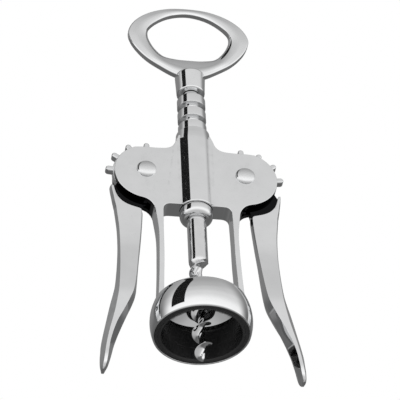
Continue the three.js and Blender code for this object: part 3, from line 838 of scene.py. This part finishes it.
def ring_loop(half):
    """The closed outline through half's points and their mirror images, at even angles round the ring's centre."""
    left = [(-x, z) for x, z in half[1:-1]][::-1]
    dense = loop(half + left, 40)
    polar = sorted(((math.atan2(p[1] - RING_CENTRE[1], p[0]), (p - RING_CENTRE).length) for p in dense))
    out = []
    k = 0
    for i in range(RING_SAMPLES):
        angle = -math.pi + 2 * math.pi * (i + 0.5) / RING_SAMPLES
        while k < len(polar) and polar[k][0] < angle:
            k += 1
        (a0, r0), (a1, r1) = polar[k - 1], polar[k % len(polar)]
        a0 -= 2 * math.pi if k == 0 else 0
        a1 += 2 * math.pi if k == len(polar) else 0
        radius = r0 + (r1 - r0) * (angle - a0) / (a1 - a0)
        out.append(RING_CENTRE + Vector((math.cos(angle), math.sin(angle))) * radius)
    return out


def ring_section(outer, bevel, hole):
    """One cut through the ring: rounded outer edges, a softly swelling front, and a ledge down to the hole."""
    inward = (RING_CENTRE - outer).normalized()
    band = bevel - outer
    away = (hole - RING_CENTRE).normalized()
    front_height = FRONT_ROUND - FRONT_DROP
    path = [(outer + inward * BACK_ROUND * (1 - math.sin(a)), RING_HALF - BACK_ROUND * (1 - math.cos(a)))
            for a in QUARTER]
    path += [(outer + inward * FRONT_ROUND * (1 - math.cos(a)),
              -RING_HALF + FRONT_DROP + front_height * (1 - math.sin(a))) for a in QUARTER]
    path += [(outer + band.normalized() * max(FRONT_ROUND + 0.1, band.length * share), -RING_HALF + drop)
             for share, drop in FACE_SWELL]
    path += [(bevel + (hole - bevel) * share, y) for share, y in LEDGE]
    path += [(hole + away * out, y) for out, y in HOLE_BACK]
    return [(p[0], y, p[1]) for p, y in path]


def build_handle():
    rows = [ring_section(*cut) for cut in zip(ring_loop(RING_OUTER), ring_loop(RING_BEVEL), ring_loop(RING_HOLE))]
    n, m = len(rows[0]), len(rows)
    faces = [(i * n + j, i * n + (j + 1) % n, (i + 1) % m * n + (j + 1) % n, (i + 1) % m * n + j)
             for i in range(m) for j in range(n)]
    ring = new_object("opener_handle", [corner for row in rows for corner in row], faces)
    boss = turned("boss", BOSS, ROUND)
    combine(boss, [rod("bore", SPINDLE_BORE, *BOSS_BORE, 64)], "DIFFERENCE")
    combine(ring, [boss], "UNION")
    piece(ring, "spindle", "handle_opener", RING, 40)


build_bell()
build_liner()
build_body()
build_rivet("rivet_left", "pivot_rivet_left", -1, LEFT_BOX)
build_rivet("rivet_right", "pivot_rivet_right", 1, RIGHT_BOX)
build_lever("lever_left_casting", "left_lever", "lever_left", -1)
build_lever("lever_right_casting", "right_lever", "lever_right", 1)
build_rack()
build_collar()
build_spindle()
build_handle()

# ---------------------------------------------------------------- studio

SUBJECT = Vector((0, 0, 0.05))
FLOOR_Z = -0.95
FLOOR_SIZE = 8
CARD_AZIMUTH, CARD_ELEVATION, CARD_DISTANCE = -58, 46, 1.6
CARD_SIZE = (0.95, 1.9)
CARD_TAPER = 0.35
# The tent's brightness from straight down (0) to straight up (1), in front and behind.
FRONT_TONES = [(0.0, 0.50), (0.25, 0.62), (0.42, 0.90), (0.54, 1.08), (0.64, 1.0), (0.79, 0.74), (0.87, 0.60),
               (0.93, 0.48), (1.0, 0.38)]
BACK_TONES = [(0.0, 0.50), (0.08, 0.35), (0.18, 0.12), (0.5, 0.16), (0.68, 0.14), (0.83, 0.24), (0.94, 0.34),
              (1.0, 0.38)]
FRONT_TO_BACK = [(0.0, 0.0), (0.36, 0.0), (0.64, 1.0), (1.0, 1.0)]


def plain(name, colour, rough):
    n = Nodes(name)
    n.link(n.mix(n.noise(3.0, 2.0), colour, tuple(c * 0.97 for c in colour)), n.shader.inputs["Base Color"])
    n.shader.inputs["Roughness"].default_value = rough
    return n.material


def sheet(name, centre, facing, size, material, taper=1.0):
    """A flat stage card that faces a point; taper is the top edge's share of the width."""
    mesh = bpy.data.meshes.new(name)
    w, h = size[0] / 2, size[1] / 2
    mesh.from_pydata([(-w, -h, 0), (w, -h, 0), (w * taper, h, 0), (-w * taper, h, 0)], [], [(0, 1, 2, 3)])
    mesh.materials.append(material)
    card = bpy.data.objects.new(name, mesh)
    bpy.context.scene.collection.objects.link(card)
    away = (Vector(facing) - Vector(centre)).normalized()
    card.matrix_world = Matrix.Translation(centre) @ away.to_track_quat("Z", "Y").to_matrix().to_4x4()
    return card


def direction(azimuth, elevation):
    """A unit vector: azimuth 0 is the front (-Y), positive towards +X."""
    a, e = math.radians(azimuth), math.radians(elevation)
    return Vector((math.sin(a) * math.cos(e), -math.cos(a) * math.cos(e), math.sin(e)))


def build_stage():
    """A pale floor, and one dark card that only reflections see."""
    pale = plain("floor_look", (0.86, 0.86, 0.86), 0.7)
    floor = sheet("floor", (0, 0, FLOOR_Z), (0, 0, 10), (FLOOR_SIZE, FLOOR_SIZE), pale)
    floor.visible_glossy = False
    dark = plain("card_look", (0.012, 0.012, 0.012), 0.8)
    at = SUBJECT + direction(CARD_AZIMUTH, CARD_ELEVATION) * CARD_DISTANCE
    card = sheet("dark_card", at, SUBJECT, CARD_SIZE, dark, CARD_TAPER)
    card.visible_camera = False
    card.visible_shadow = False


def build_world():
    """A light tent: brightest round the front horizon, fading upwards and to the back, plain white to the camera."""
    world = bpy.data.worlds.new("tent")
    bpy.context.scene.world = world
    world.use_nodes = True
    tree = world.node_tree
    tree.nodes.clear()

    def ramp(source, stops):
        node = tree.nodes.new("ShaderNodeValToRGB")
        node.color_ramp.interpolation = "EASE"
        while len(node.color_ramp.elements) < len(stops):
            node.color_ramp.elements.new(0.5)
        for element, (at, grey) in zip(node.color_ramp.elements, stops):
            element.position = at
            element.color = (grey, grey, grey, 1)
        tree.links.new(source, node.inputs["Fac"])
        return node.outputs["Color"]

    def unit(socket):
        """Maps -1..1 to 0..1."""
        node = tree.nodes.new("ShaderNodeMapRange")
        node.inputs["From Min"].default_value = -1.0
        tree.links.new(socket, node.inputs["Value"])
        return node.outputs[0]

    where = tree.nodes.new("ShaderNodeSeparateXYZ")
    tree.links.new(tree.nodes.new("ShaderNodeTexCoord").outputs["Generated"], where.inputs[0])
    height = unit(where.outputs["Z"])
    shade_mix = tree.nodes.new("ShaderNodeMix")
    shade_mix.data_type = "RGBA"
    tree.links.new(ramp(unit(where.outputs["Y"]), FRONT_TO_BACK), shade_mix.inputs["Factor"])
    tree.links.new(ramp(height, FRONT_TONES), shade_mix.inputs["A"])
    tree.links.new(ramp(height, BACK_TONES), shade_mix.inputs["B"])
    reflected = tree.nodes.new("ShaderNodeBackground")
    tree.links.new(shade_mix.outputs["Result"], reflected.inputs["Color"])
    seen = tree.nodes.new("ShaderNodeBackground")
    seen.inputs["Color"].default_value = (1, 1, 1, 1)
    choose = tree.nodes.new("ShaderNodeMixShader")
    tree.links.new(tree.nodes.new("ShaderNodeLightPath").outputs["Is Camera Ray"], choose.inputs["Fac"])
    tree.links.new(reflected.outputs[0], choose.inputs[1])
    tree.links.new(seen.outputs[0], choose.inputs[2])
    tree.links.new(choose.outputs[0], tree.nodes.new("ShaderNodeOutputWorld").inputs["Surface"])


def add_light(name, azimuth, elevation, distance, size, power):
    data = bpy.data.lights.new(name, "AREA")
    data.shape = "RECTANGLE"
    data.size, data.size_y = size
    data.energy = power
    lamp = bpy.data.objects.new(name, data)
    bpy.context.scene.collection.objects.link(lamp)
    at = SUBJECT + direction(azimuth, elevation) * distance
    lamp.matrix_world = Matrix.Translation(at) @ (at - SUBJECT).to_track_quat("Z", "Y").to_matrix().to_4x4()
    lamp.visible_glossy = False


build_stage()
build_world()
add_light("front_softbox", azimuth=25, elevation=12, distance=2.2, size=(1.3, 0.5), power=8)
bpy.context.scene.view_settings.view_transform = "Standard"
